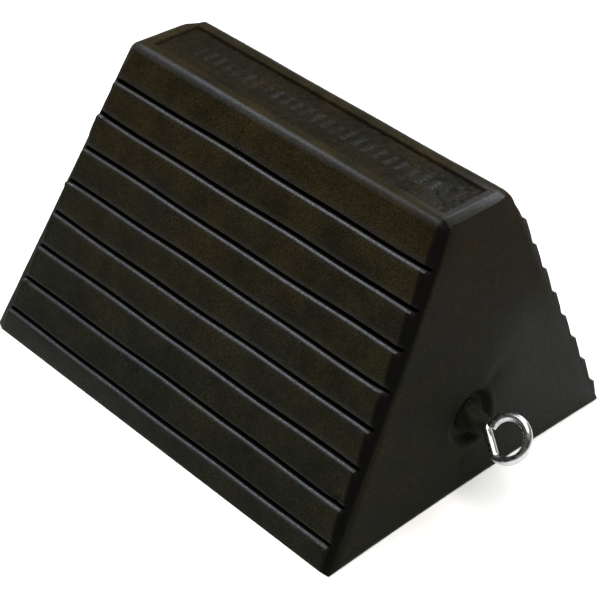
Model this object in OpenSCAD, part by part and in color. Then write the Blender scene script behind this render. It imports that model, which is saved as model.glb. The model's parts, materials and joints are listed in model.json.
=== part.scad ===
// Moulded rubber wheel chock with ribbed faces and a steel eye bolt at one end.
// Millimetres. X runs along the length towards the eye, Y across the two ribbed
// faces, Z up. The origin is the middle of the base, on the ground.

/* [Chock body] */
// Length of the base, from end face to end face
body_l = 254; // [220:1:300]
// Width of the base, across the two ribbed faces
body_w = 203.2; // [190:0.2:230]
// Height over the flat top
body_h = 154.4; // [145:0.2:175]
// Length of the top, where the end faces have leaned in
top_l = 218.2; // [200:0.2:219]
// Width of the top, between the straight lines of the ribbed faces
top_w = 45.7; // [40:0.1:60]
// Radius along the edges of the top
top_r = 6; // [3:0.5:8]
// Chamfer on the four slanting corners
corner_c = 5.5; // [3:0.5:8]

/* [Ribs] */
// Number of grooves on each ribbed face
groove_n = 8; // [3:1:8]
// Distance up the slope from the base edge to the lowest groove
groove_first = 11.6; // [8:0.1:16]
// Distance up the slope from one groove to the next
groove_pitch = 19.8; // [15:0.1:19.8]
// Width of a groove
groove_w = 2; // [1.2:0.1:3]
// Depth of a groove below the slope
groove_d = 2.5; // [1:0.1:4]
// How far the upper lip of a rib stands out from the slope
lip_out = 2.2; // [1:0.1:3]
// How far the lower edge of a rib stands out from the slope
heel_out = 0.4; // [0.2:0.1:0.8]
// How far the ribs stop short of each end face
rib_short = 4.5; // [3:0.5:8]

/* [Top panel] */
// Length of the sunk panel in the top
panel_l = 200; // [150:1:200]
// Width of the sunk panel
panel_w = 32; // [20:1:34]
// Depth of the sunk panel
panel_d = 1.5; // [1:0.1:3]
// Corner radius of the sunk panel
panel_r = 3; // [1:0.5:6]
// Number of plain grip bars standing up in the panel
bar_n = 24; // [8:1:26]
// Length, width and height of one grip bar
bar_size = [9, 3, 0.8]; // [0.5:0.1:12]
// Distance from one grip bar to the next
bar_pitch = 7; // [5:0.5:7]

/* [Eye bolt] */
// Diameter of the wire and of the shank
wire_d = 4.76; // [4:0.01:6.35]
// Radius of the eye, to the middle of the wire
eye_r = 10.5; // [9:0.1:14]
// Height of the shank above the ground
eye_z = 38.4; // [30:0.1:60]
// Distance from the end face, on the shank's axis, to the middle of the eye
eye_reach = 21.8; // [19:0.1:30]
// How far the eye is turned about its shank from upright, its top towards +Y
eye_turn = 34; // [-90:1:90]
// Angle below the shank at which the wire leaves it
leg_angle = 43; // [38:1:50]
// Distance of the eye's straight leg from the middle of the eye
leg_off = 8.2; // [8:0.1:8.6]
// Radius of the bend at the neck, and of the bend from the leg to the ring
bend_r = [4, 5]; // [3:0.5:6]
// How much thinner in radius the wire is in those two tight bends
bend_thin = 0.08; // [0.05:0.01:0.15]
// Where the wire's end stops, as an angle round the eye from its outer side
tip_angle = 155; // [140:1:156]

/* [Anchor] */
// Length of shank inside the rubber, measured from the end face
shank_in = 64; // [50:1:90]
// Distance from the shank's inner end to the rear nut
shank_spare = 4.5; // [2:0.5:10]
// Outer diameter of the anchor washer
washer_d = 31.8; // [20:0.1:40]
// Thickness of the anchor washer
washer_t = 2; // [1:0.1:3]
// Hole of the anchor washer
washer_hole = 5.2; // [5.2:0.1:8]
// Width of a nut across its flats
nut_flats = 9.5; // [9:0.1:14]
// Height of a nut
nut_h = 3.2; // [2:0.1:6]

/* [Dimple round the shank] */
// Diameter of the dimple at the end face
dimple_d = 30; // [20:1:36]
// Diameter of the dimple's floor
dimple_floor_d = 23; // [12:1:28]
// Depth of the dimple
dimple_depth = 3; // [1:0.5:6]

/* [Fits] */
// Clearance round the shank in its bore
bore_gap = 0.05; // [0.01:0.01:0.1]
// Clearance round the anchor in its pocket
pocket_gap = 0.3; // [0.2:0.05:0.6]
// Clearance between a nut and the shank
nut_gap = 0.02; // [0.01:0.01:0.05]

/* [Hidden] */
$fn = 64;
over = 10;                                      // length by which a cutter passes its work
lap = 0.4;                                      // length by which wire pieces run into a bend
rubber = [0.13, 0.13, 0.12];
steel = [0.72, 0.73, 0.75];

slope = atan2(body_h, (body_w - top_w) / 2);    // of a ribbed face, from the ground
slope_l = norm([body_h, (body_w - top_w) / 2]); // of a ribbed face, base edge to top
lean = atan2((body_l - top_l) / 2, body_h);     // of an end face, from upright
face_x = body_l / 2 - eye_z * tan(lean);        // where the shank meets the end face
eye_x = face_x + eye_reach;                     // middle of the eye

wire_r = wire_d / 2;
neck = [-(leg_off + bend_r[0] - bend_r[0] * cos(leg_angle)) / sin(leg_angle), -bend_r[0]];
leg_dir = [cos(leg_angle), -sin(leg_angle)];
leg_out = [-sin(leg_angle), -cos(leg_angle)];
leg_start = neck - bend_r[0] * leg_out;
heel_in = leg_off - bend_r[1];
heel_along = sqrt(pow(eye_r - bend_r[1], 2) - pow(heel_in, 2));
heel = heel_in * leg_out + heel_along * leg_dir;
leg_end = heel + bend_r[1] * leg_out;
leg_turn = 270 - leg_angle;                     // direction of leg_out
heel_turn = atan2(heel[1], heel[0]) + 360;      // where that bend meets the ring
lap_turn = lap / eye_r * 180 / PI;              // the lap as an angle round the ring

shank_end = face_x - shank_in;
rear_nut_x = shank_end + shank_spare;
washer_x = rear_nut_x + nut_h;
front_nut_x = washer_x + washer_t;
nut_r = nut_flats / 2 / cos(30);

// A point of the +Y ribbed face: s up the slope from the base edge, d out of it.
function on_slope(s, d) = [
    body_w / 2 - s * cos(slope) + d * sin(slope),
    s * sin(slope) + d * cos(slope)
];
function groove_s(i) = groove_first + i * groove_pitch;

// Carries a flat shape in Y and Z along X, from -x to x.
module along_x(x) {
    rotate([90, 0, 90]) translate([0, 0, -x]) linear_extrude(2 * x) children();
}

// Lays out a solid of +Z axis along +X, starting at x on the shank's axis.
module on_shank(x) {
    translate([x, 0, eye_z]) rotate([0, 90, 0]) children();
}

// Everything between the two leaning end faces, moved inwards by inset.
module between_ends(inset) {
    low = body_l / 2 - inset + over * tan(lean);
    high = top_l / 2 - inset - over * tan(lean);
    rotate([90, 0, 0]) translate([0, 0, -body_w])
        linear_extrude(2 * body_w)
            polygon([[-low, -over], [low, -over], [high, body_h + over], [-high, body_h + over]]);
}

// A rectangle with its four corners cut off.
module cut_rectangle(l, w, c) {
    polygon([
        [l / 2 - c, -w / 2], [l / 2, -w / 2 + c], [l / 2, w / 2 - c], [l / 2 - c, w / 2],
        [-l / 2 + c, w / 2], [-l / 2, w / 2 - c], [-l / 2, -w / 2 + c], [-l / 2 + c, -w / 2]
    ]);
}

// The plain block: a cut rectangle at the base, rounded edges at the top.
module plain_block() {
    edge_x = top_l / 2 - top_r / tan((90 + lean) / 2);
    edge_y = top_w / 2 - top_r / tan((180 - slope) / 2);
    hull() {
        linear_extrude(0.2) cut_rectangle(body_l, body_w, corner_c);
        for (x = [-edge_x, edge_x], y = [-edge_y, edge_y])
            translate([x, y, body_h - top_r]) sphere(top_r, $fn = 32);
        translate([-edge_x, -edge_y, body_h - 0.2]) cube([2 * edge_x, 2 * edge_y, 0.2]);
    }
}

// Saw-tooth outline of the ribs on the +Y face, each lip proud of the next heel.
module rib_outline() {
    teeth = [for (i = [0:groove_n - 1]) each [
        i == 0 ? on_slope(0, 0) : on_slope(groove_s(i - 1), heel_out),
        on_slope(groove_s(i), lip_out)
    ]];
    last = groove_s(groove_n - 1);
    polygon(concat(teeth, [on_slope(last, -2 * groove_d), [body_w / 2 - over, 0]]));
}

module groove_outline() {
    for (i = [0:groove_n - 1]) {
        s = groove_s(i);
        polygon([
            on_slope(s, -groove_d), on_slope(s + groove_w, -groove_d),
            on_slope(s + groove_w, over), on_slope(s, over)
        ]);
    }
}

module both_faces() {
    children();
    mirror([0, 1, 0]) children();
}

// Plain bars in a row, where such a block carries raised marks.
module grip_bars() {
    for (i = [0:bar_n - 1])
        translate([(i - (bar_n - 1) / 2) * bar_pitch, 0, 0])
            square([bar_size[1], bar_size[0]], center = true);
}

module panel_outline() {
    l = panel_l - 2 * panel_r;
    w = panel_w - 2 * panel_r;
    square([panel_l, w], center = true);
    square([l, panel_w], center = true);
    for (x = [-l / 2, l / 2], y = [-w / 2, w / 2])
        translate([x, y]) circle(panel_r);
}

// The sunk panel's space, less the grip bars that stand up in it.
module panel_space() {
    translate([0, 0, body_h - panel_d]) difference() {
        linear_extrude(panel_d + over) panel_outline();
        translate([0, 0, -over]) linear_extrude(over + bar_size[2]) grip_bars();
    }
}

// The bore for the shank, and the round pocket that the anchor turns in.
module anchor_space() {
    on_shank(shank_end - pocket_gap)
        cylinder(h = shank_in + over, r = wire_r + bore_gap);
    on_shank(rear_nut_x - pocket_gap)
        cylinder(h = 2 * nut_h + washer_t + 2 * pocket_gap, r = nut_r + pocket_gap);
    on_shank(washer_x - pocket_gap)
        cylinder(h = washer_t + 2 * pocket_gap, r = washer_d / 2 + pocket_gap);
}

// A shallow cone at the end face, round the shank.
module dimple_space() {
    spread = (dimple_d - dimple_floor_d) / 2 / dimple_depth;
    on_shank(face_x - dimple_depth)
        cylinder(h = dimple_depth + over, r1 = dimple_floor_d / 2,
                 r2 = dimple_floor_d / 2 + spread * (dimple_depth + over));
}

module rubber_body() {
    color(rubber) difference() {
        union() {
            plain_block();
            intersection() {
                both_faces() along_x(body_l) rib_outline();
                between_ends(rib_short);
            }
        }
        intersection() {
            both_faces() along_x(body_l) groove_outline();
            between_ends(rib_short);
        }
        panel_space();
        dimple_space();
        anchor_space();
    }
}

// A curve of the wire in the eye's plane, of radius r about the point c.
module wire_arc(c, r, from, to, wire) {
    translate(c) rotate([0, 0, from])
        rotate_extrude(angle = to - from) translate([r, 0]) circle(wire);
}

// One wire: shank, bend at the neck, straight leg, second bend, and the ring.
module eye_bolt() {
    bent = wire_r - bend_thin;
    color(steel) {
        on_shank(shank_end) cylinder(h = eye_x + neck[0] + lap - shank_end, r = wire_r);
        translate([eye_x, 0, eye_z]) rotate([90 - eye_turn, 0, 0]) {
            wire_arc(neck, bend_r[0], 90 - leg_angle, 90, bent);
            translate(leg_start - lap * leg_dir) rotate([0, 90, -leg_angle])
                cylinder(h = norm(leg_end - leg_start) + 2 * lap, r = wire_r);
            wire_arc(heel, bend_r[1], leg_turn, heel_turn, bent);
            wire_arc([0, 0], eye_r, heel_turn - lap_turn, 360 + tip_angle, wire_r);
        }
    }
}

module anchor_washer() {
    color(steel) on_shank(washer_x) difference() {
        cylinder(h = washer_t, r = washer_d / 2);
        translate([0, 0, -over]) cylinder(h = washer_t + 2 * over, r = washer_hole / 2);
    }
}

module hex_nut(x) {
    color(steel) on_shank(x) difference() {
        cylinder(h = nut_h, r = nut_r, $fn = 6);
        translate([0, 0, -over]) cylinder(h = nut_h + 2 * over, r = wire_r + nut_gap);
    }
}

module front_nut() {
    hex_nut(front_nut_x);
}

module rear_nut() {
    hex_nut(rear_nut_x);
}

rubber_body();
eye_bolt();
anchor_washer();
front_nut();
rear_nut();
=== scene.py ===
import json
import math
import bpy
import numpy as np
from mathutils import Matrix, Vector, noise


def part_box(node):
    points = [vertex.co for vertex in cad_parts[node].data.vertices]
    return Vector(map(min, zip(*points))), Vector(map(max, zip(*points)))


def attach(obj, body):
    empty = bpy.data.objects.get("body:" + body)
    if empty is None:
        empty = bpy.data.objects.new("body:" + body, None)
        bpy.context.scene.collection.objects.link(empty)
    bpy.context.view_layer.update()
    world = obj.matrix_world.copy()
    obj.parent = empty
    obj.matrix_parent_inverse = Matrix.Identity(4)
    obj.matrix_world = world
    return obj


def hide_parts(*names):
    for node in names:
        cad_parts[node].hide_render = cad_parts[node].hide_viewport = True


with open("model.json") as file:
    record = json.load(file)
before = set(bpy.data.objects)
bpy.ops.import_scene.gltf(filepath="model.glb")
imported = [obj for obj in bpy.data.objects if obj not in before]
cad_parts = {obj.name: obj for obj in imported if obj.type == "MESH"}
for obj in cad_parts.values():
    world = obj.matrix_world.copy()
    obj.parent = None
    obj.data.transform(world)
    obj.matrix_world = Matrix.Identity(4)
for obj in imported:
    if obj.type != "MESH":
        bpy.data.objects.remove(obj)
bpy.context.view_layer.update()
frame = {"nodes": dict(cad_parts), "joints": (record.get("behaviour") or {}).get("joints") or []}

mm = 0.001
bodyLow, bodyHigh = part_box("rubber_body")
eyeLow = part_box("eye_bolt")[0]      # the shank's inner end lies here
shankPlace = Vector(frame["joints"][0]["pos_m"])     # where the shank leaves the end face

cameraSetup = {
    "azimuth": 43.16,       # degrees round from the long ribbed side
    "elevation": 36.5,
    "roll": 4.2,
    "distance": 0.92588,    # from the point it looks at
    "lookAt": (0.03336, -0.03449, 0.0762),
    "lens": 113.13,
    "clipEnd": 50,
}


def addCamera(setup):
    turn, lift, tilt = (math.radians(setup[k]) for k in ("azimuth", "elevation", "roll"))
    back = Vector((math.sin(turn) * math.cos(lift), -math.cos(turn) * math.cos(lift), math.sin(lift)))
    right = Vector((math.cos(turn), math.sin(turn), 0))
    up = back.cross(right)
    rightTilted = math.cos(tilt) * right + math.sin(tilt) * up
    upTilted = math.cos(tilt) * up - math.sin(tilt) * right
    data = bpy.data.cameras.new("camera")
    data.lens = setup["lens"]
    data.clip_end = setup["clipEnd"]
    camera = bpy.data.objects.new("camera", data)
    bpy.context.scene.collection.objects.link(camera)
    place = Matrix((rightTilted, upTilted, back)).transposed().to_4x4()
    place.translation = Vector(setup["lookAt"]) + back * setup["distance"]
    camera.matrix_world = place
    bpy.context.scene.camera = camera


addCamera(cameraSetup)
print("camera placed")


# small helpers for meshes

def smoothStep(low, high, value):
    t = np.clip((value - low) / (high - low), 0, 1)
    return t * t * (3 - 2 * t)


def unevenness(points, size, seed):
    # soft noise from -1 to 1, with lumps about as large as size
    shift = Vector((seed * 13.7, seed * 7.1, seed * 3.3))
    return np.array([noise.noise(Vector(p) / size + shift) for p in points])


def meshPiece(name, points, faces, smooth=True):
    mesh = bpy.data.meshes.new(name)
    mesh.from_pydata([tuple(p) for p in points], [], faces)
    mesh.validate()
    mesh.polygons.foreach_set("use_smooth", [smooth] * len(mesh.polygons))
    mesh.update()
    piece = bpy.data.objects.new(name, mesh)
    bpy.context.scene.collection.objects.link(piece)
    return piece


def storeMask(piece, name, values):
    mask = piece.data.attributes.new(name, "FLOAT", "POINT")
    mask.data.foreach_set("value", np.asarray(values, np.float32))


def loopQuads(rings, size, start=0):
    # faces between closed rings of points, each ring of the given size
    quads = []
    for i in range(rings - 1):
        a, c = start + i * size, start + (i + 1) * size
        for j in range(size):
            k = (j + 1) % size
            quads.append((a + j, a + k, c + k, c + j))
    return quads


# the rubber block: stations along X, each a closed outline, and a grid over each end face

block = {
    "topLength": 218.2 * mm,
    "topWidth": 45.7 * mm,
    "topRound": 6 * mm,       # radius along the edges of the top
    "cornerRound": 5.2 * mm,  # size of the corners between the end faces and the slopes
    "cornerFlat": 0.75,       # 0 a round corner, 1 a flat chamfer
    # the share of that size at the top and at the base, for each end and side
    "cornerShare": {(-1, -1): (0.35, 0.3), (-1, 1): (0.5, 0.4), (1, -1): (1.0, 0.08), (1, 1): (0.2, 0.1)},
    # how far the ribs run on over those corners, from 0 to 1
    "ribOverCorner": {(-1, -1): 0.85, (-1, 1): 0.85, (1, -1): 0.5, (1, 1): 1.0},
    "grooves": 8,
    "firstLip": 11.4 * mm,    # from the base edge up the slope to the lowest lip
    "groovePitch": 19.8 * mm,
    "grooveWidth": 1.7 * mm,
    "grooveDepth": 3.0 * mm,
    "lipOut": 2.2 * mm,       # how far a rib's upper lip stands out
    "lipBevel": 2.0 * mm,     # width of the bevel along the lip
    "bevelTurn": 42,          # degrees that the bevel turns up from the slope
    "heelOut": 0.4 * mm,      # how far its lower edge stands out
    "heelRound": 0.4 * mm,
    "crown": 0.12 * mm,       # how far a rib's face bulges
    "backRibs": (1.4, 0.8),   # the far slope's ribs beside the near slope's, at the base and at the top
    "ribStart": (3.8 * mm, 1.4 * mm),      # where the lowest and highest ribs begin, from an end face
    "ribUneven": (-0.5 * mm, 0.9 * mm),    # added to each rib's start, by chance
    "ribStartChange": {(1, 1): (0.3, 0), (1, -1): (0.25, 4.3 * mm)},   # share kept, and length added
    "ribRamp": 0.8 * mm,
    "endZone": 12 * mm,       # length at each end that has close stations
    "midStations": 72,
    "arcSteps": 7,            # points round each edge of the top
    "dish": 1.4 * mm,         # how far the end faces are hollow at the base
    # the rubbed upper corners of each end: depth, and the part of the width where it starts and ends
    "rubbedCorner": {-1: (5.5 * mm, 0.66, 1.04), 1: (1 * mm, 0.7, 1.02)},
    "sway": 0.22 * mm,        # how far the lips wander up and down the slope
    "waves": (0.35 * mm, 0.09 * mm),       # height of the slow waves over every face
    "waveSizes": (55 * mm, 11 * mm),
}
# worn or torn spots on the near slope, in mm: x, distance up the slope, size, depth (a lump if below 0)
nicks = [
    (113.5, 90.5, 3.0, 1.8), (111.0, 92.5, 2.0, 1.2), (113.0, 35.0, 3.2, 0.9), (109.0, 38.5, 2.4, 0.6),
    (-113.0, 91.0, 3.0, -1.2), (-116.0, 31.5, 2.2, 0.8), (-108.0, 131.0, 2.5, 0.9), (117.5, 12.5, 2.4, 0.9),
]
panel = {
    "length": 200 * mm, "width": 30 * mm, "depth": 1.5 * mm,
    "wall": 1.2 * mm,         # how far the sunk panel's wall leans in
    "under": 1.4 * mm,        # how much deeper the block is sunk below the panel's own floor
    "bars": 24, "barPitch": 7 * mm, "barLength": 9 * mm, "barWidth": 3 * mm, "barHeight": 0.8 * mm,
    "barEdge": 0.5 * mm,
    "step": 0.62 * mm,        # between points of the floor's own mesh
    "overlap": 0.4 * mm,      # how far the floor reaches into the wall
    "pebbles": (0.34 * mm, 1.6 * mm), "swells": (0.3 * mm, 26 * mm),      # height and size
    "frameDrop": 0.5 * mm, "frameWidth": 1.2 * mm,     # the floor falls away beside the wall
}
dimple = {
    "rim": 15.5 * mm, "floor": 10.5 * mm, "depth": 3.2 * mm,
    "lip": 0.5 * mm, "lipWidth": 1.3 * mm,      # the rolled edge round the rim
}
# a soft sink mark on the near end, which runs up from the shank towards the far corner
sinkMark = {
    "middle": (16 * mm, 55 * mm), "ahead": (0.79, 0.61), "long": 13 * mm, "wide": 4 * mm, "depth": 0.7 * mm,
}
# painted shade streaks on the near end, along the sink mark and the crease below the dimple, in mm and
# degrees: y, z, turn, half length, half width, strength
shadeStreaks = [(17, 53, 38, 13, 2.2, 0.4), (11, 49, 50, 6, 1.8, 0.45), (-5.5, 15.5, 58, 6.5, 0.9, 0.9)]
# how strongly wear, dust, painted highlight, painted sheen and painted shade show, from 0 to 1, and where
# each one starts and ends
blockWearAndPaintedLight = {
    "edge": 0.9, "edgeFade": (0.6, -30 * mm, 100 * mm),     # wear and painted highlight along the edges of the top, less so to the near end
    "rim": (0.7, 70 * mm, 108 * mm),                        # painted sheen on the top round the panel, at the near end
    "splash": 0.22, "splashHeight": (4 * mm, 18 * mm), "splashLength": (-110 * mm, 70 * mm),
    "tornShade": 0.75,                                           # painted shade in the nicks
    "cornerShadeStrength": 0.95, "cornerShadeEdge": (3.8 * mm, 5.8 * mm),         # painted shade along the near end's corners
    # painted shade over both end faces, and a painted sheen on the near end towards +y and low down
    "endPaintedShade": 0.25, "endSheen": 0.22, "sheenAcross": 45 * mm, "sheenHeight": (60 * mm, 110 * mm),
}

baseLength = bodyHigh.x - bodyLow.x
baseWidth = bodyHigh.y - bodyLow.y
bodyHeight = bodyHigh.z - bodyLow.z
slopeAngle = math.atan2(bodyHeight, (baseWidth - block["topWidth"]) / 2)
endLean = (baseLength - block["topLength"]) / 2 / bodyHeight
sinSlope, cosSlope = math.sin(slopeAngle), math.cos(slopeAngle)
topFlatHalf = block["topWidth"] / 2 - block["topRound"] * math.tan(slopeAngle / 2)
slopeRun = (baseWidth / 2 - topFlatHalf - block["topRound"] * sinSlope) / cosSlope


def ribOutline(b):
    # points up a ribbed slope: distance along it, distance out of it, a mask of wear and painted highlight on
    # the lips, and a mask of painted shade down the slots
    rows = [(0, 0, 0, 0)]
    clusters = []
    width, depth, lip, heel = b["grooveWidth"], b["grooveDepth"], b["lipOut"], b["heelOut"]
    heelRound = b["heelRound"]
    turn = math.radians(b["bevelTurn"])
    bevelRun, bevelDrop = b["lipBevel"] * math.cos(turn), b["lipBevel"] * math.sin(turn)
    start, startOut = 0.0, 0.0
    for g in range(b["grooves"]):
        s = b["firstLip"] + g * b["groovePitch"]
        steps = 12 if 0 < g < 3 else 6      # close rows where the low nicks lie
        for k in range(1, steps):
            t = k / steps
            crown = b["crown"] * math.sin(math.pi * t)
            rows.append((start + t * (s - start), startOut + t * (lip - startOut) + crown, 0, 0))
        clusters.append([len(rows)])
        # the lip's edge, its bevel, the slot and the rounded heel of the next rib
        # the lip mask paints a highlight along each bevel, and the slot mask paints shade down each slot
        rows.append((s - 0.35 * mm, lip, 0.15, 0))
        rows.append((s, lip - 0.04 * mm, 0.6, 0))
        for t in (0.15, 0.5, 0.85):
            rows.append((s + t * bevelRun, lip - t * bevelDrop + 0.08 * mm, 1, 0))
        s, low = s + bevelRun, lip - bevelDrop
        rows.append((s, low - 0.1 * mm, 0.4, 0.4))
        rows.append((s, low - 0.7 * mm, 0, 0.8))
        for k in range(4):
            a = math.pi + k / 3 * math.pi
            rows.append((s + width / 2 * (1 + math.cos(a)), -depth + width / 2 * (1 + math.sin(a)), 0, 1))
        for k in range(4):
            a = k / 3 * math.pi / 2
            rows.append((s + width + heelRound * (1 - math.cos(a)), heel - heelRound * (1 - math.sin(a)),
                         0.45 * math.sin(a), 0.5 * math.cos(a)))
        clusters[-1].append(len(rows) - 1)
        start, startOut = s + width + heelRound, heel
    for k in range(1, 5):
        t = k / 4
        rows.append((start + t * (slopeRun - start), startOut * (1 - t), 0, 0))
    along, out, worn, slotShadeMask = np.array(rows).T
    return along, out, worn, slotShadeMask, clusters


def cornerCurve(b, steps=8):
    # how a corner runs in from an end face: distance from that face, and inset of the other faces
    part = np.linspace(0, 1, steps)
    turn = part * math.pi / 2
    flat, size = b["cornerFlat"], b["cornerRound"]
    away = size * ((1 - flat) * (1 - np.cos(turn)) + flat * part)
    inset = size * ((1 - flat) * (1 - np.sin(turn)) + flat * (1 - part))
    return away, inset


def stationList(b, cornerAway):
    # how far each loop lies from an end face, close together where the ribs begin
    extra = np.concatenate([np.arange(1.2, 6.2, 0.4), [6.8, 7.6, 8.4, 8.8, 9.2, 9.7, 10.5, 12.0]]) * mm
    near = np.unique(np.round(np.concatenate([cornerAway, extra]), 6))
    near = near[np.concatenate([[True], np.diff(near) > 0.12 * mm])]
    mid = np.linspace(-1, 1, b["midStations"] + 1)[1:-1]
    return [(-1, e) for e in near] + [(0, t) for t in mid] + [(1, e) for e in near[::-1]]


def halfLength(z):
    return baseLength / 2 - z * endLean


def endHollow(y, z, part, end):
    # how far an end face lies behind its flat plane
    low = 1 - smoothStep(0, bodyHeight * 0.95, z)
    hollow = block["dish"] * (1 - part ** 2) * low
    if end > 0:
        (midY, midZ), (aheadY, aheadZ) = sinkMark["middle"], sinkMark["ahead"]
        along = (y - midY) * aheadY + (z - midZ) * aheadZ
        across = (z - midZ) * aheadY - (y - midY) * aheadZ
        sunk = np.exp(-(across / sinkMark["wide"]) ** 2 - (along / sinkMark["long"]) ** 2)
        hollow = hollow + sinkMark["depth"] * sunk
    # the upper corners are rubbed round, most of all one at the far end
    depth, start, stop = block["rubbedCorner"][end]
    rubbed = depth * smoothStep(start, stop, np.abs(part)) * smoothStep(0.84 * bodyHeight, bodyHeight, z)
    return hollow + rubbed * ((y > 0) | (end > 0))


def dimpleDepth(y, z):
    away = np.hypot(y, z - shankPlace.z)
    sides = 1 + 0.06 * np.sin(3 * np.arctan2(z - shankPlace.z, y) + 0.8)
    sunk = 1 - smoothStep(dimple["floor"], dimple["rim"], away * sides)
    rolled = np.exp(-((away * sides - dimple["rim"] - 1.2 * mm) / dimple["lipWidth"]) ** 2)
    return dimple["depth"] * sunk - dimple["lip"] * rolled


def dimpleShade(y, z):
    # painted shade in the dimple's wall, most of it beside and below the shank, and painted shade along the
    # streaks
    away = np.hypot(y, z - shankPlace.z)
    angle = np.arctan2(z - shankPlace.z, y)
    ring = np.exp(-((away - 0.5 * (dimple["floor"] + dimple["rim"])) / (3 * mm)) ** 2)
    shade = ring * (0.25 + 0.65 * np.maximum(np.cos(angle - 0.5), 0) + 0.35 * np.maximum(-np.sin(angle), 0))
    for midY, midZ, turn, halfLong, halfWide, depth in shadeStreaks:
        turn = math.radians(turn)
        along = (y - midY * mm) * math.cos(turn) + (z - midZ * mm) * math.sin(turn)
        across = (z - midZ * mm) * math.cos(turn) - (y - midY * mm) * math.sin(turn)
        streak = np.exp(-(along / (halfLong * mm)) ** 4 - (across / (halfWide * mm)) ** 2)
        shade = np.maximum(shade, depth * streak)
    return shade


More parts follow.
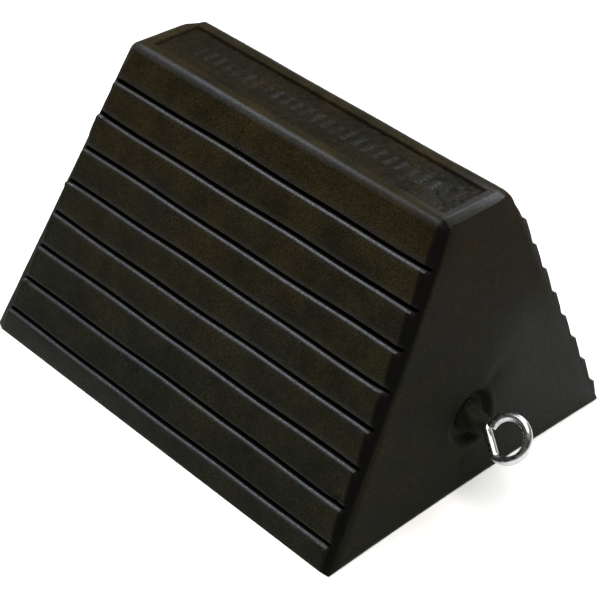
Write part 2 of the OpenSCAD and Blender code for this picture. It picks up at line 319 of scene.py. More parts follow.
def buildBlock(b):
    along, out, worn, slotShadeMask, clusters = ribOutline(b)
    plain = along.copy()
    for first, last in clusters:
        plain[first:last + 1] = np.linspace(along[first], along[last], last - first + 1)
    arcSteps = b["arcSteps"]
    arcAngles = np.linspace(math.pi / 2 - slopeAngle, math.pi / 2, arcSteps + 1)[1:]
    slopeCount = len(along) + arcSteps

    # columns across the top, the base and the end faces, close in the middle and at the panel's edge
    border = panel["width"] / 2 / topFlatHalf
    half = np.concatenate([
        np.linspace(0, 0.24, 15), np.linspace(0.24, border - 0.05, 6)[1:],
        border + np.array([-0.034, -0.017, 0, 0.017, 0.034]), np.linspace(border + 0.06, 1, 3),
    ])
    columns = np.concatenate([-half[::-1], half[1:]])
    inner = columns[1:-1]
    innerCount = len(inner)

    cornerAway, cornerInset = cornerCurve(b)
    stations = stationList(b, cornerAway)
    rng = np.random.default_rng(7)
    grooves = b["grooves"]
    ribEnd = {(side, end): np.linspace(*b["ribStart"], grooves) + rng.uniform(*b["ribUneven"], grooves)
              for side in (-1, 1) for end in (-1, 1)}
    for place, (share, added) in b["ribStartChange"].items():
        ribEnd[place] = ribEnd[place] * share + added
    ribNumber = np.floor((along - b["firstLip"]) / b["groovePitch"] + 0.55)
    ribNumber = np.clip(ribNumber, 0, grooves - 1).astype(int)
    upSlope = np.minimum(along / slopeRun * 1.4, 1)
    ribbed = smoothStep(0, 4 * mm, along) * (1 - smoothStep(slopeRun - 12 * mm, slopeRun - 4 * mm, along))

    rows, wearAndSheen, grooveMask, floorMask = [], [], [], []
    zeros = np.zeros(innerCount)
    # wear and painted highlight round the edges of the top
    edgeWearAndSheen = blockWearAndPaintedLight["edge"] * np.sin(np.linspace(0.25, 1, arcSteps) * math.pi)
    for end, value in stations:
        inset = 0.0 if end == 0 else float(np.interp(value, cornerAway, cornerInset, right=0.0))
        sides, grown, tornShade = {}, {}, np.zeros(slopeCount)
        for side in (-1, 1):
            atTop, atBase = b["cornerShare"][(end or 1, side)]
            corner = inset * (atBase + (atTop - atBase) * upSlope)
            over = b["ribOverCorner"][(end or 1, side)]
            grow = np.ones(len(along))
            if end:
                grow = smoothStep(0, b["ribRamp"], value - ribEnd[(side, end)][ribNumber])
            grown[side] = grow
            s = plain + grow * (along - plain)
            stand = out
            if side > 0:
                stand = np.where(out > 0, out * np.interp(along, [0, slopeRun], b["backRibs"]), out)
            # the ribs run on over the chamfered corner, but not the band under the top
            d = stand * grow - corner * (1 - over * grow * ribbed)
            reach = halfLength(s * sinSlope)
            xHere = end * (reach - value) if end else value * (reach - b["endZone"])
            for nickX, nickS, size, nickDepth in (nicks if side == -1 else []):
                gap = ((xHere / mm - nickX) / size) ** 2 + ((s / mm - nickS) / (size * 0.6)) ** 2
                d = d - nickDepth * mm * np.exp(-gap)
                # painted shade in each nick
                tornSpotShade = blockWearAndPaintedLight["tornShade"] * min(1, abs(nickDepth)) * np.exp(-1.3 * gap)
                tornShade[:len(along)] = np.maximum(tornShade[:len(along)], tornSpotShade)
            phase = ribNumber * 2.3 + side
            sway = np.sin(xHere / (31 * mm) + phase) + 0.7 * np.sin(xHere / (12 * mm) + 1.9 * phase)
            s = s + b["sway"] * sway * ribbed
            # the lowest points keep clear of the floor, and the rest of the first rib leads up from them
            lift = min(corner[0], 0.6 * mm)
            low = (lift + corner[0] * cosSlope) / sinSlope
            lowest = b["firstLip"] * 0.8
            s = np.where(along < lowest, low + s * (1 - low / lowest), s)
            y = baseWidth / 2 - s * cosSlope + d * sinSlope
            z = np.maximum(s * sinSlope + d * cosSlope, lift)
            z[0] = lift
            radius = b["topRound"] - corner[-1]
            arcY = topFlatHalf + radius * np.cos(arcAngles)
            arcZ = bodyHeight - b["topRound"] + radius * np.sin(arcAngles)
            sides[side] = (np.concatenate([y, arcY]), np.concatenate([z, arcZ]))
        (yRight, zRight), (yLeft, zLeft) = sides[1], sides[-1]
        baseY = np.interp(inner, [-1, 1], [-yLeft[0], yRight[0]])
        y = np.concatenate([yRight, inner[::-1] * topFlatHalf, -yLeft[::-1], baseY])
        topZ = np.interp(inner, [-1, 1], [zLeft[-1], zRight[-1]])[::-1]
        baseZ = np.interp(inner, [-1, 1], [zLeft[0], zRight[0]])
        z = np.concatenate([zRight, topZ, zLeft[::-1], baseZ])
        part = np.concatenate([np.ones(slopeCount), inner[::-1], np.ones(slopeCount), inner])
        if end:
            x = end * (halfLength(z) - value - endHollow(y, z, part, end) * (1 - value / b["endZone"]) ** 1.5)
        else:
            x = value * (halfLength(z) - b["endZone"])
        onTop = np.zeros(len(y), bool)
        onTop[slopeCount:slopeCount + innerCount] = True
        wall = panel["wall"]
        sunk = smoothStep(-wall / 2, wall / 2, panel["length"] / 2 - np.abs(x)) * \
            smoothStep(-wall / 2, wall / 2, panel["width"] / 2 - np.abs(y)) * onTop
        z = z - (panel["depth"] + panel["under"]) * sunk
        rows.append(np.stack([x, y, z], 1))
        onSlope = slice(0, slopeCount)
        most, start, stop = blockWearAndPaintedLight["edgeFade"]
        # wear and painted highlight along the top's edges, faded towards the near end
        rubbed = (edgeWearAndSheen * (1 - most * smoothStep(start, stop, x[onSlope][-arcSteps:])) *
                  (smoothStep(0.5 * mm, 4 * mm, value) if end == 1 else 1))
        splashed = (blockWearAndPaintedLight["splash"] * (1 - smoothStep(*blockWearAndPaintedLight["splashHeight"], z[onSlope])) *
                    (1 - smoothStep(*blockWearAndPaintedLight["splashLength"], x[onSlope])))
        wearAndSheenRight, wearAndSheenLeft = (np.maximum(np.concatenate([worn * grown[side], rubbed]), splashed)
                               for side in (1, -1))
        slotShadeRight, slotShadeLeft = (np.concatenate([slotShadeMask * grown[side], np.zeros(arcSteps)]) for side in (1, -1))
        # painted sheen on the top round the panel, towards the near end
        most, start, stop = blockWearAndPaintedLight["rim"]
        rim = most * smoothStep(start, stop, x[onTop]) * (1 - sunk[onTop])
        wearAndSheen.append(np.concatenate([wearAndSheenRight, rim, wearAndSheenLeft[::-1], zeros]))
        cornerShade = 0.0      # painted shade in a band along the near end's corners
        if end == 1:
            cornerShade = blockWearAndPaintedLight["cornerShadeStrength"] * float((0.5 + 0.5 * smoothStep(0, 0.6 * mm, value)) *
                                             (1 - smoothStep(*blockWearAndPaintedLight["cornerShadeEdge"], value)))
        # painted shade: in the slots, on the sunk panel's wall, in the torn nicks and along the near end's
        # corners
        grooveMask.append(np.concatenate([
            np.maximum(slotShadeRight, 0.3 * cornerShade), 0.5 * smoothStep(0.02, 0.4, sunk[onTop]),
            np.maximum(np.maximum(slotShadeLeft, cornerShade), tornShade)[::-1], zeros]))
        floorMask.append(sunk)
    points = np.concatenate(rows)
    loopSize = len(rows[0])
    count = len(stations)
    quads = loopQuads(count, loopSize)

    # the end faces join the slopes, the top and the base of the first and last stations
    addedPoints, addedShade, addedEndSheen = [], [], []
    made = len(points)
    for end, station in ((-1, 0), (1, count - 1)):
        offset = station * loopSize
        grid = np.zeros((slopeCount, innerCount + 2), int)
        grid[:, -1] = offset + np.arange(slopeCount)
        grid[:, 0] = offset + 2 * slopeCount + innerCount - 1 - np.arange(slopeCount)
        grid[-1, 1:-1] = offset + slopeCount + innerCount - 1 - np.arange(innerCount)
        grid[0, 1:-1] = offset + 2 * slopeCount + innerCount + np.arange(innerCount)
        right, left = points[grid[1:-1, -1]], points[grid[1:-1, 0]]
        t = (inner[None, :] + 1) / 2
        y = left[:, 1:2] + (right[:, 1:2] - left[:, 1:2]) * t
        z = np.repeat(right[:, 2:3], innerCount, 1)
        x = halfLength(z) - endHollow(y, z, inner[None, :], end)
        # painted shade over the whole end face, with more in the dimple and along the streaks on the near end
        shade = np.full(x.size, blockWearAndPaintedLight["endPaintedShade"])
        if end == 1:
            x = x - dimpleDepth(y, z)
            shade = np.maximum(shade, dimpleShade(y, z).ravel())
        # a painted sheen on the near end, towards its +y side and below its upper part
        sheenOnEnd = (blockWearAndPaintedLight["endSheen"] * smoothStep(0, blockWearAndPaintedLight["sheenAcross"], y) *
                 (1 - smoothStep(*blockWearAndPaintedLight["sheenHeight"], z)) * (end == 1))
        addedEndSheen.append(sheenOnEnd.ravel())
        addedShade.append(shade)
        grid[1:-1, 1:-1] = made + np.arange(x.size).reshape(x.shape)
        made += x.size
        addedPoints.append(np.stack([end * x, y, z], 2).reshape(-1, 3))
        for r in range(slopeCount - 1):
            for k in range(innerCount + 1):
                quad = (grid[r, k], grid[r, k + 1], grid[r + 1, k + 1], grid[r + 1, k])
                quads.append(tuple(int(v) for v in (quad if end == 1 else quad[::-1])))
    loose = made - len(points)
    points = np.concatenate([points] + addedPoints)
    piece = meshPiece("rubberBlock", points, quads)
    storeMask(piece, "wearAndSheen", np.concatenate(wearAndSheen + addedEndSheen))
    storeMask(piece, "groove", np.concatenate(grooveMask + addedShade))
    storeMask(piece, "pebbled", np.concatenate(floorMask + [np.zeros(loose)]))

    # slow waves over every face, none at the base
    normals = np.zeros(len(points) * 3)
    piece.data.vertices.foreach_get("normal", normals)
    normals = normals.reshape(-1, 3)
    shift = sum(amount * unevenness(points, size, seed)
                for seed, (amount, size) in enumerate(zip(b["waves"], b["waveSizes"]), 1))
    shift = (shift - b["waves"][0] * 0.1) * smoothStep(0, 10 * mm, points[:, 2])
    piece.data.vertices.foreach_set("co", (points + normals * shift[:, None]).ravel())
    piece.data.update()
    print("rubber block:", len(points), "points,", len(quads), "faces")
    return piece


rubberBlock = buildBlock(block)
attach(rubberBlock, "block")
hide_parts("rubber_body")


# the floor of the sunk panel, a slab with plain bars and a pebbled skin

def buildPanelFloor(p):
    half = (p["length"] / 2 + p["overlap"], p["width"] / 2 + p["overlap"])
    nx, ny = (int(round(2 * h / p["step"])) + 1 for h in half)
    xs, ys = np.linspace(-half[0], half[0], nx), np.linspace(-half[1], half[1], ny)
    x, y = np.meshgrid(xs, ys, indexing="ij")
    firstBar = -(p["bars"] - 1) / 2 * p["barPitch"]
    number = np.clip(np.round((x - firstBar) / p["barPitch"]), 0, p["bars"] - 1)
    rng = np.random.default_rng(11)
    worn = rng.uniform(0.45, 1.0, p["bars"])[number.astype(int)]
    edge = p["barEdge"]
    bar = smoothStep(-edge, edge, p["barWidth"] / 2 - np.abs(x - firstBar - number * p["barPitch"])) * \
        smoothStep(-edge, edge, p["barLength"] / 2 - np.abs(y))
    flat = np.stack([x, y, np.zeros_like(x)], 2).reshape(-1, 3)
    (pebbleHeight, pebbleSize), (swellHeight, swellSize) = p["pebbles"], p["swells"]
    pebble = unevenness(flat, pebbleSize, 5) + 0.6 * unevenness(flat, 4.2 * mm, 6)
    swell = unevenness(flat, swellSize, 7)
    z = bodyHeight - p["depth"] - 0.05 * mm + p["barHeight"] * bar * worn + \
        (pebbleHeight * pebble + swellHeight * swell).reshape(x.shape)
    inside = np.minimum(half[0] - np.abs(x), half[1] - np.abs(y))
    z = z - p["frameDrop"] * (1 - smoothStep(0, p["frameWidth"], inside))
    top = np.stack([x, y, z], 2).reshape(-1, 3)
    bottom = top.copy()
    bottom[:, 2] = bodyHeight - p["depth"] - 2.2 * mm     # inside the block
    index = np.arange(nx * ny).reshape(nx, ny)
    a, b, c, d = index[:-1, :-1], index[1:, :-1], index[1:, 1:], index[:-1, 1:]
    upper = np.stack([a, b, c, d], 2).reshape(-1, 4)
    lower = upper[:, ::-1] + nx * ny
    rim = np.concatenate([index[:, 0], index[-1, 1:], index[-2::-1, -1], index[0, -2:0:-1]])
    after = np.roll(rim, -1)
    sides = np.stack([rim + nx * ny, after + nx * ny, after, rim], 1)
    faces = np.concatenate([upper, lower, sides]).tolist()
    piece = meshPiece("panelFloor", np.concatenate([top, bottom]), faces)
    bright = np.concatenate([(bar * worn).ravel(), np.zeros(nx * ny)])
    # lighter patches on the pebbles, a painted sheen that grows towards the near end
    patchySheen = smoothStep(-0.6, 0.9, pebble + swell) * (0.05 + 0.3 * smoothStep(30 * mm, 95 * mm, flat[:, 0]))
    storeMask(piece, "wearAndSheen", bright * 0.4 + np.concatenate([patchySheen, np.zeros(nx * ny)]))
    # painted shade in the floor's corner by the wall and in the pits between the pebbles, and a little over
    # the whole floor
    corner = (1 - smoothStep(0.4 * mm, 1.8 * mm, inside)).ravel()
    corner = corner * (0.35 + 0.5 * smoothStep(-0.6, 0.6, swell))
    corner = np.maximum(corner, 0.32 + 0.35 * smoothStep(0.0, 1.0, -pebble))
    storeMask(piece, "groove", np.concatenate([corner, np.zeros(nx * ny)]))
    storeMask(piece, "pebbled", np.ones(2 * nx * ny))
    print("panel floor:", nx * ny * 2, "points")
    return piece


panelFloor = buildPanelFloor(panel)
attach(panelFloor, "block")
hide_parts("rubber_body")


# a neck of rubber that the moulding leaves round the shank

collar = {
    "rootRadius": 9.0 * mm, "neckRadius": 6.0 * mm, "tipRadius": 2.9 * mm, "bore": 2.36 * mm,
    "root": -5.5 * mm, "tip": 8.8 * mm,     # along the shank, from the end face
    "flare": 2.6,                           # how quickly the root widens
    "noseFrom": 0.55, "noseCurve": 2.4,     # where it starts to narrow to the tip, and how roundly
    "uneven": 0.35 * mm,                    # how far the tip's edge wanders
    "rings": 26, "sides": 48,
    # the collar gets a little painted shade, and a little of the wear and sheen colour
    "masks": {"wearAndSheen": 0.08, "groove": 0.1, "pebbled": 1.0},
}


def buildCollar(c):
    points = []
    turns = np.arange(c["sides"]) / c["sides"] * 2 * math.pi

    def addRing(t, radius):
        along = c["root"] + t * (c["tip"] - c["root"]) + c["uneven"] * t * np.sin(3 * turns + 1)
        points.append(np.stack([along, radius * np.cos(turns), radius * np.sin(turns)], 1))

    for t in np.linspace(0, 1, c["rings"]):
        radius = c["neckRadius"] + (c["rootRadius"] - c["neckRadius"]) * (1 - t) ** c["flare"]
        nose = max(0, (t - c["noseFrom"]) / (1 - c["noseFrom"])) ** c["noseCurve"]
        radius -= (c["neckRadius"] - c["tipRadius"]) * nose
        addRing(t, radius * (1 + 0.05 * np.sin(2 * turns + 5 * t) + 0.04 * np.sin(5 * turns - 9 * t)))
    for t in (0.99, 0.5, 0.0):      # back down the bore
        addRing(t, c["bore"])
    count = len(points)
    points = np.concatenate(points) + np.array(shankPlace)
    quads = loopQuads(count, c["sides"])
    last = (count - 1) * c["sides"]
    for j in range(c["sides"]):
        k = (j + 1) % c["sides"]
        quads.append((last + j, last + k, k, j))
    piece = meshPiece("shankCollar", points, quads)
    for name, value in c["masks"].items():
        storeMask(piece, name, np.full(len(points), value))
    return piece


shankCollar = buildCollar(collar)
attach(shankCollar, "block")
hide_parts("rubber_body")


# the eye: one bent wire, whose cut end passes beside its own neck

eye = {
    "wire": 2.28 * mm,          # radius
    "ringRadius": 10.9 * mm,
    "ringCentre": (21.5 * mm, 1.6 * mm),   # from the end face, and above the shank
    "turn": 34.6,               # degrees that the eye is turned about its shank
    "legAngle": 42,             # degrees below the shank
    "legOff": 9.0 * mm,         # of the straight leg, from the middle of the eye
    "neckUp": -1.2 * mm,        # of the neck, from the middle of the eye
    "straight": 12 * mm,        # of shank before the neck
    "ringFrom": 263, "ringTo": 538.5,       # degrees round the eye, to the cut end
    "side": (-0.8 * mm, 0.2 * mm, 3.7 * mm),  # sideways place at the neck, the heel and the cut end
    "drift": (0.67, 0.19),      # how far the sideways part also leads outwards and up
    "spacing": 0.25 * mm, "bend": 4.6,      # between points along the wire, and how widely bends are rounded
    "thread": 24 * mm, "pitch": 1.06 * mm, "threadDepth": 0.5 * mm, "threadStep": 0.133 * mm,
    "burr": ((0.12, 0.97), (0.2, 0.9)),     # round the cut end: mm beyond it, and share of the radius
    "sides": 28,
}


def eyePath(e):
    # points in the eye's own plane: along the shank, up, and sideways
    leg = math.radians(e["legAngle"])
    neckUp = e["neckUp"]
    neck = np.array([-(e["legOff"] + neckUp * math.cos(leg)) / math.sin(leg), neckUp])
    arc = np.radians(np.arange(e["ringFrom"], e["ringTo"] + 0.01, 1.0))
    ring = e["ringRadius"] * np.stack([np.cos(arc), np.sin(arc)], 1)
    shankStart = np.array([neck[0] - e["straight"], neckUp])
    corners = np.concatenate([[shankStart, neck], ring])
    neckSide, heelSide, tipSide = e["side"]
    sweep = np.linspace(0, 1, len(ring))
    side = np.concatenate([[neckSide, neckSide], heelSide + (tipSide - heelSide) * sweep ** 1.2])
    path = np.column_stack([corners, side])
    path[:, 0] += e["drift"][0] * side
    path[:, 1] += e["drift"][1] * side
    # even spacing, then rounded bends
    length = np.concatenate([[0], np.cumsum(np.linalg.norm(np.diff(path, axis=0), axis=1))])
    spots = np.arange(0, length[-1], e["spacing"])
    path = np.stack([np.interp(spots, length, path[:, k]) for k in range(3)], 1)
    reach = 10      # points on each side
    weight = np.exp(-(np.arange(-reach, reach + 1) / e["bend"]) ** 2)
    weight /= weight.sum()
    start = path[0] + (path[0] - path[1]) * np.arange(reach, 0, -1)[:, None]
    stop = path[-1] + (path[-1] - path[-2]) * np.arange(1, reach + 1)[:, None]
    padded = np.concatenate([start, path, stop])
    return np.stack([np.convolve(padded[:, k], weight, "valid") for k in range(3)], 1)


def buildEye(e):
    path = eyePath(e)
    turn = math.radians(e["turn"])
    up = np.array([0, math.sin(turn), math.cos(turn)])
    sideways = np.array([0, -math.cos(turn), math.sin(turn)])
    centre = np.array(shankPlace) + [e["ringCentre"][0], 0, e["ringCentre"][1]]
    bent = centre + path[:, :1] * [1, 0, 0] + path[:, 1:2] * up + path[:, 2:] * sideways
    # the bent part's start is drawn onto the shank's own line
    bent[:, 1:] -= (bent[0, 1:] - np.array(shankPlace)[1:]) * np.linspace(1, 0, len(bent))[:, None] ** 8
    straight = np.arange(eyeLow.x, bent[0, 0] - 0.2 * mm, e["threadStep"])
    shank = np.array(shankPlace) * [0, 1, 1] + straight[:, None] * [1, 0, 0]
    threaded = straight < eyeLow.x + e["thread"]
    shank = shank[threaded | (np.arange(len(straight)) % 8 == 0)]      # close rings only along the thread
    points = np.concatenate([shank, bent])
    forward = np.gradient(points, axis=0)
    forward /= np.linalg.norm(forward, axis=1)[:, None]
    turns = np.arange(e["sides"]) / e["sides"] * 2 * math.pi
    across = np.array([0.0, 1.0, 0.0])
    rings = []
    for k, (place, ahead) in enumerate(zip(points, forward)):
        across = across - ahead * across.dot(ahead)
        across /= np.linalg.norm(across)
        over = np.cross(ahead, across)
        radius = np.full(e["sides"], e["wire"])
        fromEnd = place[0] - eyeLow.x
        if fromEnd < e["thread"] and k < len(shank):
            phase = (fromEnd / e["pitch"] + turns / (2 * math.pi)) % 1
            fade = min(1, (e["thread"] - fromEnd) / (3 * mm))
            radius = radius - e["threadDepth"] * fade * (1 - np.abs(2 * phase - 1))
        if k == 0:
            radius = radius - 0.5 * mm      # the inner end is bevelled
        around = np.cos(turns)[:, None] * across + np.sin(turns)[:, None] * over
        rings.append(place + radius[:, None] * around)
    # the cut end has a small burred edge
    ahead, place = forward[-1], points[-1]
    for more, shrink in e["burr"]:
        rings.append(place + ahead * more * mm + (rings[len(points) - 1] - place) * shrink)
    count = len(rings)
    size = e["sides"]
    quads = [q[::-1] for q in loopQuads(count, size)]
    faces = quads + [tuple(range(size)), tuple(range((count - 1) * size, count * size))[::-1]]
    piece = meshPiece("wireEye", np.concatenate(rings), faces)
    cut = np.concatenate([np.zeros(len(points) * size), np.ones(2 * size)])
    storeMask(piece, "cutEnd", cut)
    print("eye:", count * size, "points; gap at the neck",
          round((np.linalg.norm(bent[-1] - bent[:80], axis=1).min() - 2 * e["wire"]) / mm, 2), "mm")
    return piece


wireEye = buildEye(eye)
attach(wireEye, "eye")
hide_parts("eye_bolt")


# materials

def newMaterial(name):
    material = bpy.data.materials.new(name)
    material.use_nodes = True
    tree = material.node_tree
    return material, tree, tree.nodes["Principled BSDF"]


def noiseNode(tree, size, detail, rough, stretch=None):
    # noise whose lumps are about as large as size, in the object's own coordinates
    coords = tree.nodes.new("ShaderNodeTexCoord")
    source = coords.outputs["Object"]
    if stretch:
        mapping = tree.nodes.new("ShaderNodeMapping")
        mapping.inputs["Scale"].default_value = stretch
        tree.links.new(source, mapping.inputs["Vector"])
        source = mapping.outputs["Vector"]
    node = tree.nodes.new("ShaderNodeTexNoise")
    node.inputs["Scale"].default_value = 1 / size
    node.inputs["Detail"].default_value = detail
    node.inputs["Roughness"].default_value = rough
    tree.links.new(source, node.inputs["Vector"])
    return node.outputs["Fac"]


def maskNode(tree, name):
    node = tree.nodes.new("ShaderNodeAttribute")
    node.attribute_name = name
    return node.outputs["Fac"]


def ramp(tree, source, stops):
    node = tree.nodes.new("ShaderNodeValToRGB")
    tree.links.new(source, node.inputs["Fac"])
    elements = node.color_ramp.elements
    while len(elements) < len(stops):
        elements.new(0.5)
    for element, (position, colour) in zip(elements, stops):
        element.position = position
        # a single value makes a grey
        element.color = (*colour, 1) if len(colour) == 3 else (colour[0],) * 3 + (1,)
    return node.outputs["Color"]


def mixColour(tree, factor, first, second, blend="MIX"):
    node = tree.nodes.new("ShaderNodeMix")
    node.data_type = "RGBA"
    node.blend_type = blend
    inputs = [s for s in node.inputs if s.enabled]
    for socket, value in zip((node.inputs["Factor"], inputs[-2], inputs[-1]), (factor, first, second)):
        if isinstance(value, bpy.types.NodeSocket):
            tree.links.new(value, socket)
        elif isinstance(value, tuple):
            socket.default_value = (*value, 1)
        else:
            socket.default_value = value
    return next(s for s in node.outputs if s.enabled)


def maths(tree, operation, first, second):
    node = tree.nodes.new("ShaderNodeMath")
    node.operation = operation
    for socket, value in zip(node.inputs, (first, second)):
        if isinstance(value, bpy.types.NodeSocket):
            tree.links.new(value, socket)
        else:
            socket.default_value = value
    return node.outputs[0]


def bumps(tree, layers):
    # stacks bump nodes: each layer is a height socket, a strength and a depth
    normal = None
    for height, strength, depth in layers:
        node = tree.nodes.new("ShaderNodeBump")
        node.inputs["Strength"].default_value = strength
        node.inputs["Distance"].default_value = depth
        tree.links.new(height, node.inputs["Height"])
        if normal:
            tree.links.new(normal, node.inputs["Normal"])
        normal = node.outputs["Normal"]
    return normal


rubberLook = {
    # dustAndSheen is the colour of dust and also of painted highlight and sheen
    "dark": (0.0088, 0.0080, 0.0040), "light": (0.0180, 0.0150, 0.0066), "dustAndSheen": (0.032, 0.037, 0.046),
    # the near-black colour of painted shade
    "shadeColour": (0.0028, 0.0027, 0.0024),
    "speckleDark": (0.38, 0.36, 0.38), "speckleLight": (1.7, 1.65, 1.6),
    "tintBelow": (0.78, 0.98, 1.25), "tintAbove": (1.08, 1.0, 0.86),     # cooler low down, warmer high up
    "roughness": (0.44, 0.62), "specular": 0.035,
    "coat": 0.45, "coatRoughness": 0.36,      # worn lips and edges are glossier
    "patch": 16 * mm, "grain": 1.1 * mm, "fine": 0.45 * mm, "speckle": 0.8 * mm,     # sizes
    "pebble": 1.3 * mm, "ripple": 7 * mm, "tintPatch": 45 * mm,
    # strength and depth of each layer of bumps
    "rippleBump": (0.5, 0.25 * mm), "grainBump": (0.45, 0.12 * mm), "fineBump": (0.35, 0.06 * mm),
    "pebbleBump": (1.0, 0.8 * mm),
    "dustAndSheenCover": 0.55,        # how much of the colour the dust and painted sheen hide where they are thickest
    # how much each of these changes the roughness
    "fineRough": 0.25, "wornRough": 0.2, "grooveRough": 0.3,
}


def rubberMaterial(look):
    material, tree, shader = newMaterial("mouldedRubber")
    patch = noiseNode(tree, look["patch"], 4, 0.6)
    grain = noiseNode(tree, look["grain"], 4, 0.6)
    fine = noiseNode(tree, look["fine"], 2, 0.5)
    wearAndSheen, groove, pebbled = (maskNode(tree, n) for n in ("wearAndSheen", "groove", "pebbled"))
    colour = ramp(tree, patch, [(0.34, look["dark"]), (0.66, look["light"])])
    speckle = noiseNode(tree, look["speckle"], 2, 0.6)
    speckle = ramp(tree, speckle, [(0.34, look["speckleDark"]), (0.66, look["speckleLight"])])
    colour = mixColour(tree, 1.0, colour, speckle, "MULTIPLY")
    place = tree.nodes.new("ShaderNodeTexCoord")
    height = tree.nodes.new("ShaderNodeSeparateXYZ")
    tree.links.new(place.outputs["Object"], height.inputs[0])
    lifted = maths(tree, "MULTIPLY", height.outputs["Z"], 0.45 / bodyHeight)
    uneven = noiseNode(tree, look["tintPatch"], 2, 0.5)
    lifted = maths(tree, "ADD", lifted, maths(tree, "MULTIPLY", uneven, 0.55))
    tint = ramp(tree, lifted, [(0.32, look["tintBelow"]), (0.66, look["tintAbove"])])
    colour = mixColour(tree, 1.0, colour, tint, "MULTIPLY")
    # worn lips and edges: wear, and a painted highlight and sheen in the dust colour
    worn = maths(tree, "MULTIPLY", wearAndSheen, ramp(tree, grain, [(0.3, (0.35,)), (0.6, (1.0,))]))
    colour = mixColour(tree, maths(tree, "MULTIPLY", worn, look["dustAndSheenCover"]), colour, look["dustAndSheen"])
    # painted shade, mixed in where the shade mask is set
    colour = mixColour(tree, groove, colour, look["shadeColour"])
    tree.links.new(colour, shader.inputs["Base Color"])
    low, high = look["roughness"]
    rough = ramp(tree, patch, [(0.3, (low,)), (0.7, (high,))])
    spread = maths(tree, "SUBTRACT", fine, 0.5)
    rough = maths(tree, "ADD", rough, maths(tree, "MULTIPLY", spread, look["fineRough"]))
    rough = maths(tree, "SUBTRACT", rough, maths(tree, "MULTIPLY", worn, look["wornRough"]))
    rough = maths(tree, "ADD", rough, maths(tree, "MULTIPLY", groove, look["grooveRough"]))
    tree.links.new(rough, shader.inputs["Roughness"])
    shader.inputs["Specular IOR Level"].default_value = look["specular"]
    shader.inputs["Coat Roughness"].default_value = look["coatRoughness"]
    tree.links.new(maths(tree, "MULTIPLY", worn, look["coat"]), shader.inputs["Coat Weight"])
    pebbles = maths(tree, "MULTIPLY", noiseNode(tree, look["pebble"], 4, 0.65), pebbled)
    ripple = noiseNode(tree, look["ripple"], 3, 0.5)
    normal = bumps(tree, [(ripple, *look["rippleBump"]), (grain, *look["grainBump"]),
                          (fine, *look["fineBump"]), (pebbles, *look["pebbleBump"])])
    tree.links.new(normal, shader.inputs["Normal"])
    return material


zincLook = {
    "bright": (0.62, 0.63, 0.66), "dull": (0.40, 0.40, 0.41), "stain": (0.12, 0.07, 0.04),
    "cut": (0.24, 0.23, 0.22),      # bare steel at the cut end
    "roughness": (0.2, 0.34),
    "blotch": 3.5 * mm, "streak": 1.2 * mm, "speck": 0.35 * mm,     # sizes
    "stainCover": 0.35, "cutCover": 0.8,      # how much of the colour the stain and the bare steel hide
    "streakBump": (0.25, 0.08 * mm), "speckBump": (0.15, 0.03 * mm),
    "dullRougher": 0.15,
}


def zincMaterial(look, name, dullness):
    # dullness 0 is bright plating, 1 is the plating that was moulded in
    material, tree, shader = newMaterial(name)
    blotch = noiseNode(tree, look["blotch"], 4, 0.6)
    streak = noiseNode(tree, look["streak"], 3, 0.6, (0.25, 1, 1))
    speck = noiseNode(tree, look["speck"], 2, 0.6)
    brightTo, dullFrom = 0.35 - dullness * 0.2, 0.8 - dullness * 0.3
    colour = ramp(tree, blotch, [(brightTo, look["bright"]), (dullFrom, look["dull"])])
    stained = ramp(tree, speck, [(0.68, (0.0,)), (0.8, (1.0,))])
    colour = mixColour(tree, maths(tree, "MULTIPLY", stained, look["stainCover"]), colour, look["stain"])
    bare = maths(tree, "MULTIPLY", maskNode(tree, "cutEnd"), look["cutCover"])
    colour = mixColour(tree, bare, colour, look["cut"])
    tree.links.new(colour, shader.inputs["Base Color"])
    low, high = (r + dullness * look["dullRougher"] for r in look["roughness"])
    rough = ramp(tree, streak, [(0.3, (low,)), (0.7, (high,))])
    tree.links.new(rough, shader.inputs["Roughness"])
    shader.inputs["Metallic"].default_value = 1
    normal = bumps(tree, [(streak, *look["streakBump"]), (speck, *look["speckBump"])])
    tree.links.new(normal, shader.inputs["Normal"])
    return material


rubber = rubberMaterial(rubberLook)
for piece in (rubberBlock, panelFloor, shankCollar):
    piece.data.materials.append(rubber)
wireEye.data.materials.append(zincMaterial(zincLook, "zincWire", 0))
anchorSteel = zincMaterial(zincLook, "anchorSteel", 1)
for nodeName in ("anchor_washer", "front_nut", "rear_nut"):
    anchor = frame["nodes"][nodeName]
    anchor.data.materials.clear()
    anchor.data.materials.append(anchorSteel)
print("materials made")


# floor, lights and surroundings

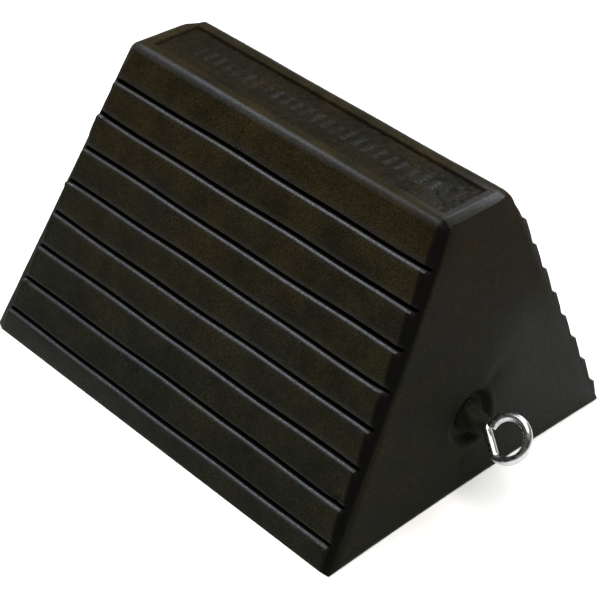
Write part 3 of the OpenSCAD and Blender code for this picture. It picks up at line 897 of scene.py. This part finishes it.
studio = {
    "floorReach": 4.0, "floorDrop": 0.2 * mm,     # just below the object
    "floorColour": (0.95, 0.95, 0.95), "floorRoughness": 0.9, "floorSpecular": 0.1,
    "aim": (0, 0, 0.08),
    # place, size, power and tint of each light
    "lights": {
        "lipLight": ((-0.8, 0.13, 1.38), (0.6, 0.3), 11, (0.76, 0.88, 1.0)),
        "backBox": ((-0.1, 1.15, 1.1), (0.6, 0.5), 11, (0.8, 0.9, 1.0)),
        "topBox": ((0.3, -0.15, 1.7), (1.4, 1.4), 36, (1.0, 0.98, 0.95)),
    },
    "darkSide": (0.55, -0.62, 0.45),     # the dim side of the studio
    # the surroundings' colour, from the side away from it to that side
    "ramp": [(0.0, (0.5, 0.5, 0.5)), (0.4, (0.55, 0.53, 0.48)), (0.66, (0.4, 0.34, 0.24)),
             (0.92, (0.05, 0.045, 0.035))],
    "strength": 0.7,
}


def addFloor(look):
    reach = look["floorReach"]
    points = [(-reach, -reach, 0), (reach, -reach, 0), (reach, reach, 0), (-reach, reach, 0)]
    floor = meshPiece("floor", points, [(0, 1, 2, 3)], smooth=False)
    floor.location.z = bodyLow.z - look["floorDrop"]
    material, tree, shader = newMaterial("paleFloor")
    shader.inputs["Base Color"].default_value = (*look["floorColour"], 1)
    shader.inputs["Roughness"].default_value = look["floorRoughness"]
    shader.inputs["Specular IOR Level"].default_value = look["floorSpecular"]
    floor.data.materials.append(material)


def addLight(name, place, aim, size, power, tint):
    data = bpy.data.lights.new(name, "AREA")
    data.shape = "RECTANGLE"
    data.size, data.size_y = size
    data.energy = power
    data.color = tint
    lamp = bpy.data.objects.new(name, data)
    lamp.location = place
    lamp.rotation_euler = (Vector(aim) - Vector(place)).to_track_quat("-Z", "Y").to_euler()
    bpy.context.scene.collection.objects.link(lamp)


def addWorld(light):
    world = bpy.data.worlds.new("studio")
    world.use_nodes = True
    tree = world.node_tree
    coords = tree.nodes.new("ShaderNodeTexCoord")
    toDark = tree.nodes.new("ShaderNodeVectorMath")
    toDark.operation = "DOT_PRODUCT"
    toDark.inputs[1].default_value = Vector(light["darkSide"]).normalized()
    tree.links.new(coords.outputs["Generated"], toDark.inputs[0])
    spread = maths(tree, "MULTIPLY_ADD", toDark.outputs["Value"], 0.5)
    spread.node.inputs[2].default_value = 0.5
    colour = ramp(tree, spread, light["ramp"])
    tree.links.new(colour, tree.nodes["Background"].inputs["Color"])
    tree.nodes["Background"].inputs["Strength"].default_value = light["strength"]
    bpy.context.scene.world = world


addFloor(studio)
for name, (place, size, power, tint) in studio["lights"].items():
    addLight(name, place, studio["aim"], size, power, tint)
addWorld(studio)
bpy.context.scene.view_settings.view_transform = "Standard"
print("studio lit")
